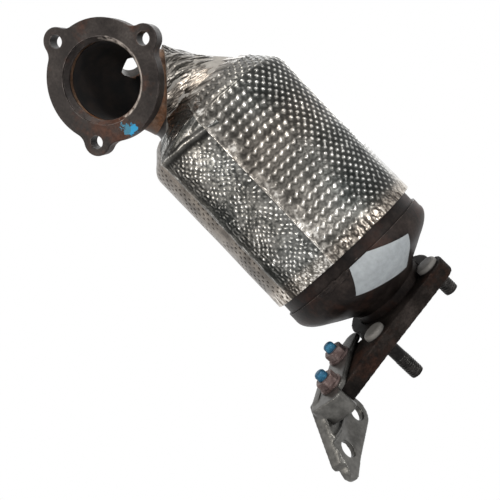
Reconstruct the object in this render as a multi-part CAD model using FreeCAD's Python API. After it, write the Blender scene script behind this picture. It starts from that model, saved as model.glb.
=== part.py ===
import FreeCAD, Part
import math
import os

from FreeCAD import Placement, Rotation, Vector

# Close-coupled catalytic converter with a foil heat shield. Millimetres, +Z up.
# The origin is the centre of the inlet bore on its gasket face, which faces -Y.
# The can stands along Z below and behind it, with its outlet at the bottom.

# Inlet flange
INLET_BORE_R = 26.0
INLET_MOUTH_R = 28.8
INLET_MOUTH_DEPTH = 1.5
INLET_FLARE_DEPTH = 3.0
INLET_FLANGE_R = 41.0
INLET_FLANGE_T = 10.0
INLET_BOLT_CIRCLE_R = 41.0
INLET_BOLT_ANGLES = (96.0, -4.0, 216.5)
INLET_BOLT_HOLE_R = 4.5
INLET_EAR_R = 9.5
INLET_EAR_BLEND_R = 9.0
INLET_SOCKET_START = 6.0
FLANGE_EDGE_R = 0.8

# Inlet elbow and cone
PIPE_R = 28.5
PIPE_WALL = 2.0
PIPE_FIT = 0.1
ELBOW_STRAIGHT = 4.0
ELBOW_REACH_Y = 30.0
ELBOW_SWING_X = 19.5
ELBOW_SWING_Z = -37.6
CONE_START = 0.56
CONE_WALL = 1.8
INLET_FLARE = ((0.0, 0.0), (0.35, 0.0), (0.5, 0.016), (0.62, 0.08), (0.74, 0.31), (0.82, 0.545),
               (0.88, 0.715), (0.94, 0.87), (1.0, 1.0))

# Sensor boss, for an M18 x 1.5 oxygen sensor
BOSS_R = 12.5
BOSS_BORE_R = 8.25
BOSS_HEIGHT = 9.0
BOSS_STATION = 0.33
BOSS_LEAN = (-0.02, 0.72, 0.69)

# Can, substrate and its packing
CAN_X = 24.3
CAN_Y = 59.9
CAN_R = 59.0
CAN_WALL = 1.5
CAN_TOP_Z = -75.0
COLLAR_LAP = 9.0
OUTLET_LAP = 5.0
CAN_END_GAP = 1.0
COLLAR_FIT = 0.05
COLLAR_WALL = 1.55
PACKING_T = 4.7
SUBSTRATE_LENGTH = 114.3
SUBSTRATE_TOP_GAP = 10.0
SUBSTRATE_BOTTOM_GAP = 7.7
SEAL_LENGTH = 6.0
SEAL_INSET = 1.0

# Outlet cone and neck, leaning back from the can's axis
OUTLET_TILT = 11.0
OUTLET_PIVOT_ABOVE_CAN_END = 2.0
OUTLET_REACH = 48.5
NECK_R = 29.0
# Circles down the cone: how far along, and how much wider than the can or than the neck.
OUTLET_SHOULDER = ((9.0, 0.4), (13.0, -3.6), (17.0, -10.4))
OUTLET_WAIST = ((22.0, 11.0), (26.5, 3.6), (30.5, 0.0))

# Outlet flange: a plate with three studs and an arm for the support bracket
PLATE_TURN = 33.0
PLATE_T = 12.0
PLATE_RING_R = 38.0
PLATE_SOCKET_DEPTH = 7.0
OUTLET_BORE_R = 26.0
STUD_PLACES = {"near": (-36.5, -30.0), "far": (24.0, -30.0), "rear": (-7.0, 42.0)}
LUG_R = 11.0
STUD_R = 5.0
STUD_KNURL_R = 5.4
STUD_HEAD_R = 8.0
STUD_HEAD_H = 4.0
STUD_HEAD_EDGE_R = 2.0
STUD_TIP_R = 2.5
STUD_LENGTHS = {"near": 30.0, "far": 13.0, "rear": 30.0}

# Arm of the plate and its two bracket studs, measured along it from its first lug
ARM_X = -64.0
ARM_Y = -15.0
ARM_HEADING = 225.0
ARM_REACH = 25.0
ARM_STUD_START = -3.0
ARM_STUD_SPACING = 31.0
ARM_LUG_R = 10.0
ARM_STUD_R = 4.0
ARM_STUD_TIP = 13.0
ARM_STUD_TIP_R = 2.4
NUT_ACROSS_FLATS = 13.0
NUT_H = 7.5
NUT_WASHER_R = 8.5
NUT_WASHER_H = 1.5
NUT_CHAMFER = 0.6

# Support bracket: a tab on the arm, a knuckle, and a foot plate with two holes
TAB_T = 4.0
TAB_LUG_R = 10.5
TAB_NOSE = 14.6
TAB_NOSE_SIDE = 6.7
TAB_NOSE_R = 7.0
STUD_HOLE_GAP = 0.1
ARM_GAP = 0.8
SHOULDER_R = 5.5
KNUCKLE_REACH = 6.0
KNUCKLE_R = 5.0
BRIDGE_PLACE = 15.0
BRIDGE_START_R = 9.0
BRIDGE_END_R = 4.0
FOOT_T = 5.0
FOOT_HOLE_R = 6.0
FOOT_HOLE_SPACING = 35.4
FOOT_HOLE_START = 19.5
FOOT_HOLE_DROP = 28.7
FOOT_LUG_R = 11.5
FOOT_WEB_R = 5.0
FOOT_HEEL_BACK = 4.0
FOOT_KNEE_AHEAD = 20.0
FOOT_TOE_AHEAD = 13.8
FOOT_TOE_DROP = 5.75
FOOT_TOE_R = 7.0
FOOT_LIP = 3.0
FOOT_LIP_R = 4.0
FOOT_LIP_RISE = 8.0

# Foil heat shield and the mats below it
FOIL_T = 0.4
FOIL_GAP = 0.05
CAN_MAT_T = 2.15
SHIELD_SHOULDER_RISE = 10.0
SHIELD_CROWN_RISE = 23.0
SHIELD_CROWN_DROP = 11.5
SHIELD_END_GAP = 14.0
SEAM_ANGLE = -85.0
SEAM_LAP = 9.0
LAP_PANEL_SPAN = 150.0
INLET_MAT_T = 2.2
WRAP_CUT_POINT = (14.7, 20.9, -38.5)
WRAP_CUT_NORMAL = (0.61, 0.454, -0.649)
WRAP_START = 0.0
WRAP_END = 0.86
BOSS_WINDOW_GAP = 2.0
EYELET_POINT = (31.0, 45.0, -45.0)
EYELET_R = 1.8

# Label on the outlet cone
LABEL_W = 46.0
LABEL_H = 27.0
LABEL_T = 0.3
LABEL_ANGLE = -62.0
LABEL_DROP = 12.0
LABEL_LEAN = 0.45
LABEL_SPIN = -23.0

X_AXIS = Vector(1, 0, 0)
Y_AXIS = Vector(0, 1, 0)
Z_AXIS = Vector(0, 0, 1)
ORIGIN = Vector(0, 0, 0)

COLLAR_R = CAN_R + COLLAR_FIT + COLLAR_WALL
CONE_END_Z = CAN_TOP_Z + COLLAR_LAP / 3
SUBSTRATE_R = CAN_R - CAN_WALL - PACKING_T
SUBSTRATE_TOP_Z = CAN_TOP_Z - SUBSTRATE_TOP_GAP
SUBSTRATE_BOTTOM_Z = SUBSTRATE_TOP_Z - SUBSTRATE_LENGTH
CAN_BOTTOM_Z = SUBSTRATE_BOTTOM_Z - SUBSTRATE_BOTTOM_GAP
OUTLET_CONE_REACH = OUTLET_WAIST[-1][0]
MAT_R = CAN_R + FOIL_GAP + CAN_MAT_T
SHIELD_R = MAT_R + FOIL_GAP
SHIELD_SHOULDER_Z = CAN_TOP_Z + SHIELD_SHOULDER_RISE
SHIELD_CROWN_Z = CAN_TOP_Z + SHIELD_CROWN_RISE
SHIELD_BOTTOM_Z = CAN_BOTTOM_Z + SHIELD_END_GAP


def polar(radius, angle):
    """A point in the XY plane at an angle in degrees."""
    turn = math.radians(angle)
    return Vector(radius * math.cos(turn), radius * math.sin(turn), 0)


def pipe(outer, inner, start, length, direction=Z_AXIS):
    """A straight tube."""
    shell = Part.makeCylinder(outer, length, start, direction)
    return shell.cut(Part.makeCylinder(inner, length, start, direction))


def can_point(z):
    """The point of the can's axis at a height."""
    return Vector(CAN_X, CAN_Y, z)


def section(centre, direction, radius):
    """A circle across a path, with its start kept on the same side of the path."""
    normal = Vector(direction).normalize()
    side = (X_AXIS - normal * X_AXIS.dot(normal)).normalize()
    circle = Part.makeCircle(radius)
    circle.Placement = Placement(centre, Rotation(side, normal.cross(side), normal, "ZXY"))
    return Part.Wire([circle])


def loft(stations, growth=0.0):
    """A solid through circular stations, each grown by the same amount."""
    return Part.makeLoft([section(c, d, r + growth) for c, d, r in stations], True, False)


# The inlet path is one Bezier curve from the flange to the can's shoulder.

def inlet_path():
    start = Vector(0, INLET_SOCKET_START + ELBOW_STRAIGHT, 0)
    swing = Vector(ELBOW_SWING_X, CAN_Y, ELBOW_SWING_Z)
    return start, start + Y_AXIS * ELBOW_REACH_Y, swing, can_point(CONE_END_Z)


def path_point(t):
    a, b, c, d = inlet_path()
    s = 1 - t
    return a * s ** 3 + b * (3 * s * s * t) + c * (3 * s * t * t) + d * t ** 3


def path_direction(t):
    a, b, c, d = inlet_path()
    s = 1 - t
    return (b - a) * (s * s) + (c - b) * (2 * s * t) + (d - c) * (t * t)


def flare_at(t):
    """How far the inlet has opened, from 0 at the pipe to 1 at the can."""
    for (t0, f0), (t1, f1) in zip(INLET_FLARE, INLET_FLARE[1:]):
        if t <= t1:
            return f0 + (f1 - f0) * (t - t0) / (t1 - t0)
    return 1.0


def circle_direction(t):
    """Across the path at the pipe, turning to the can's axis as the inlet opens."""
    opened = flare_at(t)
    return path_direction(t).normalize() * (1 - opened) - Z_AXIS * opened


def inlet_stations(first, last, count):
    stations = []
    for step in range(count + 1):
        t = first + (last - first) * step / count
        radius = PIPE_R + (COLLAR_R - PIPE_R) * flare_at(t)
        stations.append((path_point(t), circle_direction(t), radius))
    return stations


def inlet_flange():
    body = Part.makeCylinder(INLET_FLANGE_R, INLET_FLANGE_T, ORIGIN, Y_AXIS)
    holes = []
    centres = []
    for angle in INLET_BOLT_ANGLES:
        spot = polar(INLET_BOLT_CIRCLE_R, angle)
        centre = Vector(spot.x, 0, spot.y)
        centres.append(centre)
        body = body.fuse(Part.makeCylinder(INLET_EAR_R, INLET_FLANGE_T, centre, Y_AXIS))
        holes.append(Part.makeCylinder(INLET_BOLT_HOLE_R, INLET_FLANGE_T, centre, Y_AXIS))
    body = body.removeSplitter()
    body = body.makeFillet(INLET_EAR_BLEND_R, ear_corners(body, centres))
    body = body.makeFillet(FLANGE_EDGE_R, flat_outline(body, Y_AXIS, 0.0))
    body = body.cut(Part.makeCylinder(INLET_BORE_R, INLET_FLANGE_T, ORIGIN, Y_AXIS))
    body = body.cut(Part.makeCylinder(INLET_MOUTH_R, INLET_MOUTH_DEPTH, ORIGIN, Y_AXIS))
    flare_start = Y_AXIS * INLET_MOUTH_DEPTH
    body = body.cut(Part.makeCone(INLET_MOUTH_R, INLET_BORE_R, INLET_FLARE_DEPTH, flare_start, Y_AXIS))
    socket_start = Y_AXIS * INLET_SOCKET_START
    socket_depth = INLET_FLANGE_T - INLET_SOCKET_START
    body = body.cut(Part.makeCylinder(PIPE_R + PIPE_FIT, socket_depth, socket_start, Y_AXIS))
    return body.cut(holes)


def ear_corners(body, centres):
    """The sharp inner corners where the round rim meets an ear."""
    corners = []
    for edge in body.Edges:
        if not isinstance(edge.Curve, Part.Line):
            continue
        point = edge.CenterOfMass
        on_rim = abs(math.hypot(point.x, point.z) - INLET_FLANGE_R) < 1e-4
        ears = [math.hypot(point.x - c.x, point.z - c.z) for c in centres]
        if on_rim and min(abs(gap - INLET_EAR_R) for gap in ears) < 1e-4:
            corners.append(edge)
    return corners


def flat_outline(body, axis, level):
    """The edges of a body that lie wholly at one level along an axis."""
    found = []
    for edge in body.Edges:
        levels = [vertex.Point.dot(axis) for vertex in edge.Vertexes]
        levels.append(edge.valueAt((edge.FirstParameter + edge.LastParameter) / 2).dot(axis))
        if all(abs(value - level) < 1e-6 for value in levels):
            found.append(edge)
    return found


def boss_axis():
    """The start of the boss on the elbow's centre line, and its direction."""
    start = path_point(BOSS_STATION)
    return start, Vector(*BOSS_LEAN).normalize()


def boss_bore():
    start, direction = boss_axis()
    return Part.makeCylinder(BOSS_BORE_R, PIPE_R * 2, start, direction)


def elbow_core(growth):
    """The solid inside the elbow's wall, grown by an amount from the outer radius."""
    bend = loft(inlet_stations(0.0, CONE_START, 5), growth)
    start = Y_AXIS * INLET_SOCKET_START
    return bend.fuse(Part.makeCylinder(PIPE_R + growth, ELBOW_STRAIGHT, start, Y_AXIS)).removeSplitter()


def inlet_elbow():
    return elbow_core(0.0).cut(elbow_core(-PIPE_WALL)).cut(boss_bore())


def sensor_boss():
    start, direction = boss_axis()
    reach = PIPE_R + BOSS_HEIGHT
    block = Part.makeCylinder(BOSS_R, reach, start, direction)
    block = block.cut(elbow_core(0.0))
    outer = max(block.Solids, key=lambda solid: solid.CenterOfMass.distanceToPoint(start))
    return outer.cut(boss_bore())


def cone_core(growth, collar_growth):
    flare = loft(inlet_stations(CONE_START, 1.0, 8), growth)
    collar_bottom = can_point(CAN_TOP_Z - COLLAR_LAP)
    collar_length = CONE_END_Z - CAN_TOP_Z + COLLAR_LAP
    return flare.fuse(Part.makeCylinder(COLLAR_R + collar_growth, collar_length, collar_bottom))


def inlet_cone():
    return cone_core(0.0, 0.0).cut(cone_core(-CONE_WALL, -COLLAR_WALL)).removeSplitter()


def can_shell():
    return pipe(CAN_R, CAN_R - CAN_WALL, can_point(CAN_BOTTOM_Z), CAN_TOP_Z - CAN_BOTTOM_Z)


def substrate():
    return Part.makeCylinder(SUBSTRATE_R, SUBSTRATE_LENGTH, can_point(SUBSTRATE_BOTTOM_Z))


def packing(top_z, length):
    """A ring that fills the gap between the substrate and the can."""
    return pipe(CAN_R - CAN_WALL, SUBSTRATE_R, can_point(top_z - length), length)


def support_mat():
    top = SUBSTRATE_TOP_Z - SEAL_INSET - SEAL_LENGTH
    return packing(top, SUBSTRATE_LENGTH - 2 * (SEAL_INSET + SEAL_LENGTH))


def mat_seal_upper():
    return packing(SUBSTRATE_TOP_Z - SEAL_INSET, SEAL_LENGTH)


def mat_seal_lower():
    return packing(SUBSTRATE_BOTTOM_Z + SEAL_INSET + SEAL_LENGTH, SEAL_LENGTH)


# The outlet is built in the plate's own frame: Z = 0 is its gasket face, +Z looks at the can.

def outlet_pivot():
    return can_point(CAN_BOTTOM_Z + OUTLET_PIVOT_ABOVE_CAN_END)


def outlet_down():
    tilt = math.radians(OUTLET_TILT)
    return Vector(0, math.sin(tilt), -math.cos(tilt))


def outlet_frame():
    place = outlet_pivot() + outlet_down() * OUTLET_REACH
    return Placement(place, Rotation(X_AXIS, OUTLET_TILT) * Rotation(Z_AXIS, PLATE_TURN))


def placed(shape):
    """Moves a solid from the plate's frame to the part's frame."""
    solid = shape.copy()
    solid.Placement = outlet_frame()
    return solid


def outlet_stations():
    """Circles down the outlet cone, which lean step by step to the neck's tilt."""
    stations = [(can_point(CAN_BOTTOM_Z - CAN_END_GAP), -Z_AXIS, COLLAR_R)]
    circles = [(reach, CAN_R + wider) for reach, wider in OUTLET_SHOULDER]
    circles += [(reach, NECK_R + wider) for reach, wider in OUTLET_WAIST]
    for reach, radius in circles:
        lean = math.radians(OUTLET_TILT) * reach / OUTLET_CONE_REACH
        direction = Vector(0, math.sin(lean), -math.cos(lean))
        stations.append((outlet_pivot() + outlet_down() * reach, direction, radius))
    return stations


def outlet_core(growth, collar_growth):
    cone = loft(outlet_stations(), growth)
    collar_top = can_point(CAN_BOTTOM_Z + OUTLET_LAP)
    collar = Part.makeCylinder(COLLAR_R + collar_growth, OUTLET_LAP + CAN_END_GAP, collar_top, -Z_AXIS)
    neck_start = outlet_pivot() + outlet_down() * OUTLET_CONE_REACH
    neck_length = OUTLET_REACH - PLATE_T + PLATE_SOCKET_DEPTH - OUTLET_CONE_REACH
    neck = Part.makeCylinder(NECK_R + growth, neck_length, neck_start, outlet_down())
    return cone.fuse([collar, neck])


def outlet_cone():
    return outlet_core(0.0, 0.0).cut(outlet_core(-CONE_WALL, -COLLAR_WALL)).removeSplitter()


def stud_places():
    return {name: Vector(x, y, 0) for name, (x, y) in STUD_PLACES.items()}


def arm_point(reach):
    return Vector(ARM_X, ARM_Y, 0) + polar(reach, ARM_HEADING)


def arm_places():
    return {"upper": arm_point(ARM_STUD_START), "lower": arm_point(ARM_STUD_START + ARM_STUD_SPACING)}


def hull(circles, height):
    """A flat plate whose outline wraps circles, listed counter-clockwise as (centre, radius)."""
    ring = list(circles) + [circles[0]]
    leaving = []
    for (start, start_r), (end, end_r) in zip(ring, ring[1:]):
        along = end - start
        heading = math.atan2(along.y, along.x)
        turn = heading - math.acos((start_r - end_r) / along.Length)
        outward = Vector(math.cos(turn), math.sin(turn), 0)
        leaving.append((start + outward * start_r, end + outward * end_r, turn))
    edges = []
    for index, (first, last, turn) in enumerate(leaving):
        before = leaving[index - 1]
        centre, radius = circles[index]
        sweep = (turn - before[2]) % (2 * math.pi)
        middle = centre + polar(radius, math.degrees(before[2] + sweep / 2))
        if sweep > 1e-6:
            edges.append(Part.Arc(before[1], middle, first).toShape())
        edges.append(Part.makeLine(first, last))
    return Part.Face(Part.Wire(edges)).extrude(Z_AXIS * height)


def bar(start, end, start_r, end_r, height):
    """A flat bar with round ends."""
    return hull([(start, start_r), (end, end_r)], height)


def outlet_flange():
    studs = stud_places()
    near, far, rear = studs["near"], studs["far"], studs["rear"]
    body = Part.makeCylinder(PLATE_RING_R, PLATE_T)
    wedge = hull([(near, LUG_R), (far, LUG_R), (rear, LUG_R)], PLATE_T)
    reach = hull([(near, LUG_R), (arm_point(0), ARM_LUG_R), (arm_point(ARM_REACH), ARM_LUG_R)], PLATE_T)
    body = body.fuse([wedge, reach]).removeSplitter()
    cuts = [Part.makeCylinder(OUTLET_BORE_R, PLATE_T)]
    socket_floor = Z_AXIS * (PLATE_T - PLATE_SOCKET_DEPTH)
    cuts.append(Part.makeCylinder(NECK_R + PIPE_FIT, PLATE_SOCKET_DEPTH, socket_floor))
    cuts += [Part.makeCylinder(STUD_KNURL_R, PLATE_T, place) for place in studs.values()]
    cuts += [Part.makeCylinder(ARM_STUD_R, PLATE_T, place) for place in arm_places().values()]
    return placed(body.cut(cuts))


def outlet_stud(place, length):
    """A press-in stud: round head on the back face, rounded tip below the gasket face."""
    shank = Part.makeCylinder(STUD_R, length, place - Z_AXIS * length)
    shank = shank.makeFillet(STUD_TIP_R, flat_outline(shank, Z_AXIS, -length))
    knurl = Part.makeCylinder(STUD_KNURL_R, PLATE_T, place)
    head = Part.makeCylinder(STUD_HEAD_R, STUD_HEAD_H, place + Z_AXIS * PLATE_T)
    head = head.makeFillet(STUD_HEAD_EDGE_R, flat_outline(head, Z_AXIS, PLATE_T + STUD_HEAD_H))
    return placed(shank.fuse([knurl, head]).removeSplitter())


def arm_stud(place):
    """A stud pressed into the arm, with a rounded tip above the nut."""
    length = PLATE_T + TAB_T + ARM_STUD_TIP
    shank = Part.makeCylinder(ARM_STUD_R, length, place)
    return placed(shank.makeFillet(ARM_STUD_TIP_R, flat_outline(shank, Z_AXIS, length)))


def arm_nut(place):
    seat = place + Z_AXIS * (PLATE_T + TAB_T)
    corner_r = NUT_ACROSS_FLATS / math.sqrt(3)
    corners = [seat + polar(corner_r, 60 * side) for side in range(7)]
    nut = Part.Face(Part.makePolygon(corners)).extrude(Z_AXIS * NUT_H)
    nut = nut.common(Part.makeCone(corner_r + NUT_H, corner_r - NUT_CHAMFER, NUT_H, seat))
    nut = nut.fuse(Part.makeCylinder(NUT_WASHER_R, NUT_WASHER_H, seat))
    return placed(nut.cut(Part.makeCylinder(ARM_STUD_R, NUT_H, seat)))


def foot_offset():
    """From the line of the arm's studs to the near face of the foot, clear of the arm."""
    return ARM_LUG_R + ARM_GAP


def support_bracket():
    arm = arm_places()
    upper, lower = arm["upper"], arm["lower"]
    along = polar(1.0, ARM_HEADING)
    away = polar(1.0, ARM_HEADING - 90.0)
    floor = Z_AXIS * PLATE_T
    depth = PLATE_T + TAB_T
    nose = upper - along * TAB_NOSE - away * TAB_NOSE_SIDE
    tab = bar(upper + floor, lower + floor, TAB_LUG_R, TAB_LUG_R, TAB_T)
    tab = tab.fuse(bar(nose + floor, upper + floor, TAB_NOSE_R, TAB_LUG_R, TAB_T))
    foot = foot_plate(upper + away * foot_offset(), along)
    knuckle_end = lower + away * foot_offset() + along * KNUCKLE_REACH
    knuckle = bar(lower + floor, knuckle_end + floor, TAB_LUG_R, KNUCKLE_R, TAB_T)
    bridge_start = upper + along * BRIDGE_PLACE
    bridge_end = bridge_start + away * foot_offset()
    bridge = bar(bridge_start + floor, bridge_end + floor, BRIDGE_START_R, BRIDGE_END_R, TAB_T)
    beyond = arm_point(ARM_REACH + ARM_LUG_R + ARM_GAP + SHOULDER_R)
    shoulder = bar(beyond - away * SHOULDER_R, beyond + away * foot_offset(), SHOULDER_R, SHOULDER_R, depth)
    link = bar(lower + floor, beyond + floor, TAB_LUG_R, SHOULDER_R, TAB_T)
    body = tab.fuse([foot, knuckle, bridge, shoulder, link]).removeSplitter()
    return placed(body.cut([Part.makeCylinder(ARM_STUD_R + STUD_HOLE_GAP, depth, p) for p in arm.values()]))


def foot_plate(start, along):
    """The upright plate with two holes, a lip along its upper side and a round toe."""
    top = Z_AXIS * (PLATE_T + TAB_T)
    frame = Placement(start + top, Rotation(along, Z_AXIS, along.cross(Z_AXIS), "ZXY"))
    first = Vector(FOOT_HOLE_START, -FOOT_HOLE_DROP - TAB_T, 0)
    second = first + X_AXIS * FOOT_HOLE_SPACING
    toe = second + Vector(FOOT_TOE_AHEAD, -FOOT_TOE_DROP, 0)
    heel = Vector(FOOT_HOLE_START - FOOT_HEEL_BACK, -TAB_T, 0)
    knee = Vector(FOOT_HOLE_START + FOOT_KNEE_AHEAD, -TAB_T, 0)
    web = [(corner, FOOT_WEB_R) for corner in (first, second, knee, heel)]
    plate = bar(first, second, FOOT_LUG_R, FOOT_LUG_R, FOOT_T)
    plate = plate.fuse([
        hull(web, FOOT_T),
        bar(heel, first, FOOT_WEB_R, FOOT_LUG_R, FOOT_T),
        bar(knee, second, FOOT_WEB_R, FOOT_LUG_R, FOOT_T),
        bar(second, toe, FOOT_LUG_R, FOOT_TOE_R, FOOT_T),
        bar(knee, toe + Y_AXIS * FOOT_LIP_RISE, FOOT_LIP_R, FOOT_LIP_R, FOOT_T + FOOT_LIP),
    ])
    holes = [Part.makeCylinder(FOOT_HOLE_R, FOOT_T + FOOT_LIP, spot) for spot in (first, second)]
    plate = plate.cut(holes).removeSplitter()
    plate.Placement = frame
    return plate


# Foil heat shield

def sector(shape, start, span):
    """Keeps the part of a round shape between two angles about the can's axis."""
    height = SHIELD_CROWN_Z - SHIELD_BOTTOM_Z + 2 * CAN_R
    base = can_point(SHIELD_BOTTOM_Z - CAN_R)
    wedge = Part.makeCylinder(2 * CAN_R, height, base, Z_AXIS, span)
    wedge.rotate(base, Z_AXIS, start)
    return shape.common(wedge)


def can_envelope(radius):
    """The solid inside the can's foil: a cylinder with a conical crown."""
    corners = [
        Vector(0, 0, SHIELD_BOTTOM_Z),
        Vector(radius, 0, SHIELD_BOTTOM_Z),
        Vector(radius, 0, SHIELD_SHOULDER_Z + crown_rise(radius)),
        Vector(radius - SHIELD_CROWN_DROP, 0, SHIELD_CROWN_Z + crown_rise(radius)),
        Vector(0, 0, SHIELD_CROWN_Z + crown_rise(radius)),
    ]
    solid = Part.Face(Part.makePolygon(corners + corners[:1])).revolve(ORIGIN, Z_AXIS, 360)
    solid.translate(can_point(0))
    return solid


def crown_rise(radius):
    """Layers that lie further out also sit higher, so that they keep their thickness."""
    slope = math.atan2(SHIELD_CROWN_DROP, SHIELD_CROWN_Z - SHIELD_SHOULDER_Z)
    return (radius - SHIELD_R) * math.tan(slope / 2)


def can_foil(inner_r):
    """A foil jacket round the can, open at its bottom and round the inlet at its top."""
    foil = can_envelope(inner_r + FOIL_T).cut(can_envelope(inner_r))
    rim_r = inner_r - SHIELD_CROWN_DROP
    lid_bottom = SHIELD_CROWN_Z + crown_rise(inner_r)
    return foil.cut(Part.makeCylinder(rim_r, 2 * CAN_R, can_point(lid_bottom - FOIL_T)))


def shield_main():
    outer = can_foil(SHIELD_R + FOIL_T + FOIL_GAP)
    return sector(outer, SEAM_ANGLE, 360.0 - LAP_PANEL_SPAN)


def shield_lap_panel():
    inner = can_foil(SHIELD_R)
    return sector(inner, SEAM_ANGLE - LAP_PANEL_SPAN - SEAM_LAP, LAP_PANEL_SPAN + 2 * SEAM_LAP)


def can_mat():
    top = CAN_TOP_Z - COLLAR_LAP - FOIL_GAP
    return pipe(MAT_R, CAN_R + FOIL_GAP, can_point(SHIELD_BOTTOM_Z), top - SHIELD_BOTTOM_Z)


def bare_side():
    """A block that covers the side of the inlet that the foil leaves bare."""
    normal = Vector(*WRAP_CUT_NORMAL).normalize()
    reach = 4 * CAN_R
    return Part.makeCylinder(reach, reach, Vector(*WRAP_CUT_POINT), -normal)


def boss_window():
    start, direction = boss_axis()
    return Part.makeCylinder(BOSS_R + BOSS_WINDOW_GAP, PIPE_R * 2, start, direction)


def eyelet():
    """The small round hole through the inlet foil."""
    return Part.makeCylinder(EYELET_R, PIPE_R, Vector(*EYELET_POINT), -Y_AXIS)


def inlet_layer(growth):
    """The solid round the inlet out to a layer's face, ending inside the can's crown."""
    return loft(inlet_stations(WRAP_START, WRAP_END, 9), growth)


def inlet_mat():
    crown = can_envelope(SHIELD_R - FOIL_GAP)
    crown = crown.common(Part.makeCylinder(2 * CAN_R, CAN_R, can_point(CONE_END_Z)))
    body = inlet_layer(INLET_MAT_T).cut([bare_side(), boss_window()]).fuse(crown)
    metal = elbow_core(FOIL_GAP).fuse(cone_core(FOIL_GAP, FOIL_GAP))
    return body.cut(metal)


def shield_inlet_wrap():
    inner = inlet_layer(INLET_MAT_T + FOIL_GAP)
    foil = inlet_layer(INLET_MAT_T + FOIL_GAP + FOIL_T).cut(inner)
    crown = can_envelope(SHIELD_R + 2 * FOIL_T + 2 * FOIL_GAP)
    return foil.cut([crown, bare_side(), boss_window(), eyelet()])


def label():
    """A paper sticker that follows the outlet cone."""
    start = can_point(CAN_BOTTOM_Z - LABEL_DROP + LABEL_LEAN * CAN_R)
    normal = (polar(1.0, LABEL_ANGLE) - Z_AXIS * LABEL_LEAN).normalize()
    side = Z_AXIS.cross(normal).normalize()
    frame = Rotation(side, normal.cross(side), normal, "ZXY") * Rotation(Z_AXIS, LABEL_SPIN)
    block = Part.makeBox(LABEL_W, LABEL_H, 2 * CAN_R, Vector(-LABEL_W / 2, -LABEL_H / 2, 0))
    block.transformShape(Placement(start, frame).Matrix)
    top = LABEL_T + COLLAR_FIT
    skin = outlet_core(top, top).cut(outlet_core(COLLAR_FIT, COLLAR_FIT))
    return skin.common(block)


def build():
    parts = {
        "inlet_flange": inlet_flange(),
        "inlet_elbow": inlet_elbow(),
        "sensor_boss": sensor_boss(),
        "inlet_cone": inlet_cone(),
        "can_shell": can_shell(),
        "substrate": substrate(),
        "support_mat": support_mat(),
        "mat_seal_upper": mat_seal_upper(),
        "mat_seal_lower": mat_seal_lower(),
        "outlet_cone": outlet_cone(),
        "outlet_flange": outlet_flange(),
        "support_bracket": support_bracket(),
        "shield_main": shield_main(),
        "shield_lap_panel": shield_lap_panel(),
        "shield_inlet_wrap": shield_inlet_wrap(),
        "can_mat": can_mat(),
        "inlet_mat": inlet_mat(),
        "label": label(),
    }
    for name, place in stud_places().items():
        parts["outlet_stud_" + name] = outlet_stud(place, STUD_LENGTHS[name])
    for name, place in arm_places().items():
        parts["bracket_stud_" + name] = arm_stud(place)
        parts["bracket_nut_" + name] = arm_nut(place)
    return parts


os.makedirs("parts", exist_ok=True)
for node, shape in build().items():
    shape.exportStep("parts/" + node + ".step")
    print(node, "solids", len(shape.Solids), "valid", shape.isValid(), "mm3", round(shape.Volume))
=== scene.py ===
"""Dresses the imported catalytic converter: embossed foil, rust, threads, paint and a label."""
import math

import bmesh
import bpy
import numpy as np
from mathutils import Matrix, Vector


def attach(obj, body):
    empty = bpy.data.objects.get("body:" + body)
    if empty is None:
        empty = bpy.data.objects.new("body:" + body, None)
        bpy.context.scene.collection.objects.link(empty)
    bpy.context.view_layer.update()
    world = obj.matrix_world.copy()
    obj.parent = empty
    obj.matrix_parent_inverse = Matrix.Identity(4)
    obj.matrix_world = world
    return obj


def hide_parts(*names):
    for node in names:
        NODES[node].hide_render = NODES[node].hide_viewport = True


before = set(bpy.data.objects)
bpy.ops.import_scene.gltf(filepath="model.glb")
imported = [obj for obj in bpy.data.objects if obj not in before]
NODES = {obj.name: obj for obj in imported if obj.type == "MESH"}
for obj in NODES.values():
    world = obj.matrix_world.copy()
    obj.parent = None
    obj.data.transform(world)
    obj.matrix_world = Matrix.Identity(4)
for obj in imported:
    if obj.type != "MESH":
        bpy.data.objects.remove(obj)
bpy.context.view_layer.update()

MM = 0.001

# Sizes of the part, in millimetres and degrees, with the values that the CAD source has
CAN_X, CAN_Y = 24.3, 59.9
SHIELD_R = 61.25
SHIELD_SHOULDER_Z = -65.0
SHIELD_CROWN_Z = -52.0
SHIELD_CROWN_DROP = 11.5
SHIELD_BOTTOM_Z = -193.0
SEAM_ANGLE = -85.0
LAP_SPAN = 150.0
SEAM_LAP = 9.0
FOIL_T = 0.4

PIPE_R = 28.5
COLLAR_R = 60.6
INLET_MAT_T = 2.2
INLET_PATH = np.array([[0, 10, 0], [0, 40, 0], [19.5, CAN_Y, -37.6], [CAN_X, CAN_Y, -72]], float)
INLET_FLARE = ((0.0, 0.0), (0.35, 0.0), (0.5, 0.016), (0.62, 0.08), (0.74, 0.31), (0.82, 0.545),
               (0.88, 0.715), (0.94, 0.87), (1.0, 1.0))
WRAP_CUT_POINT = np.array([14.7, 20.9, -38.5])
WRAP_CUT_NORMAL = np.array([0.61, 0.454, -0.649])
BOSS_STATION = 0.33
BOSS_LEAN = np.array([-0.02, 0.72, 0.69])
BOSS_R = 12.5
BOSS_BORE_R = 8.25
EYELET_POINT = (31.0, 45.0, -45.0)
EYELET_R = 1.8

PIVOT = np.array([CAN_X, CAN_Y, -205.0])
OUTLET_TILT = math.radians(11.0)
OUTLET_REACH = 48.5
PLATE_TURN = 33.0
PLATE_T = 12.0
ARM_PLACE = (-64.0, -15.0)
STUD_R = 5.0
# Each stud's place in the plate's frame, and the height of its thread's far end
STUDS = {"near": ((-36.5, -30.0), -29.0), "rear": ((-7.0, 42.0), -29.0), "far": ((24.0, -30.0), -12.0)}

# Sizes of the surface detail, in millimetres
EMBOSS_PITCH = 6.45
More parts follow.
